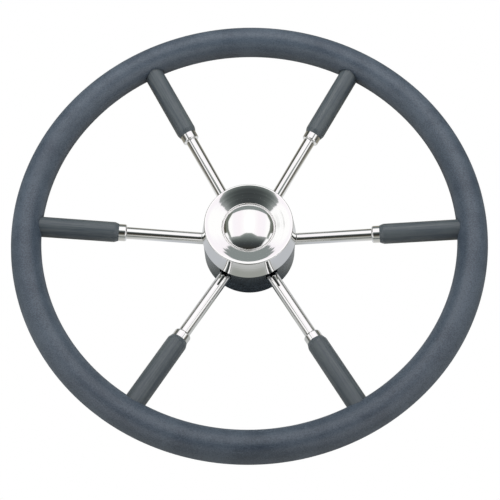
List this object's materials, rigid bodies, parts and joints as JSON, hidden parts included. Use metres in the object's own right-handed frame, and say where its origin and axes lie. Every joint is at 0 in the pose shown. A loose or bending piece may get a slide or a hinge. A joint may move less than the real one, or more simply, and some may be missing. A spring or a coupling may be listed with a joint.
{
  "type": "boat steering wheel",
  "caption": "Round boat steering wheel with a soft grey rim, polished steel spokes sleeved near the rim, and a dished polished hub cap over a dark hub.",
  "frame": {"origin": "on the steering shaft's axis, in the hub's rear face", "axes": "+Z along the shaft's axis towards the person who steers, +X along one spoke, +Y at the key's slot"},
  "size_m": [0.5, 0.5, 0.0819],
  "materials": {
    "grip": "fine-grained soft moulded skin",
    "sleeve": "smooth satin",
    "shroud": "fine-grained moulded",
    "polished_steel": "mirror polish",
    "frame_steel": "as turned and welded"
  },
  "bodies": {
    "root": {"rim_grip": "grip", "rim_core": "frame_steel", "hub_boss": "frame_steel", "hub_cap": "polished_steel", "centre_button": "polished_steel", "hub_shroud": "shroud", "spoke_1": "polished_steel", "spoke_2": "polished_steel", "spoke_3": "polished_steel", "spoke_4": "polished_steel", "spoke_5": "polished_steel", "spoke_6": "polished_steel", "sleeve_1": "sleeve", "sleeve_2": "sleeve", "sleeve_3": "sleeve", "sleeve_4": "sleeve", "sleeve_5": "sleeve", "sleeve_6": "sleeve", "ferrule_1": "polished_steel", "ferrule_2": "polished_steel", "ferrule_3": "polished_steel", "ferrule_4": "polished_steel", "ferrule_5": "polished_steel", "ferrule_6": "polished_steel"}
  },
  "joints": []
}
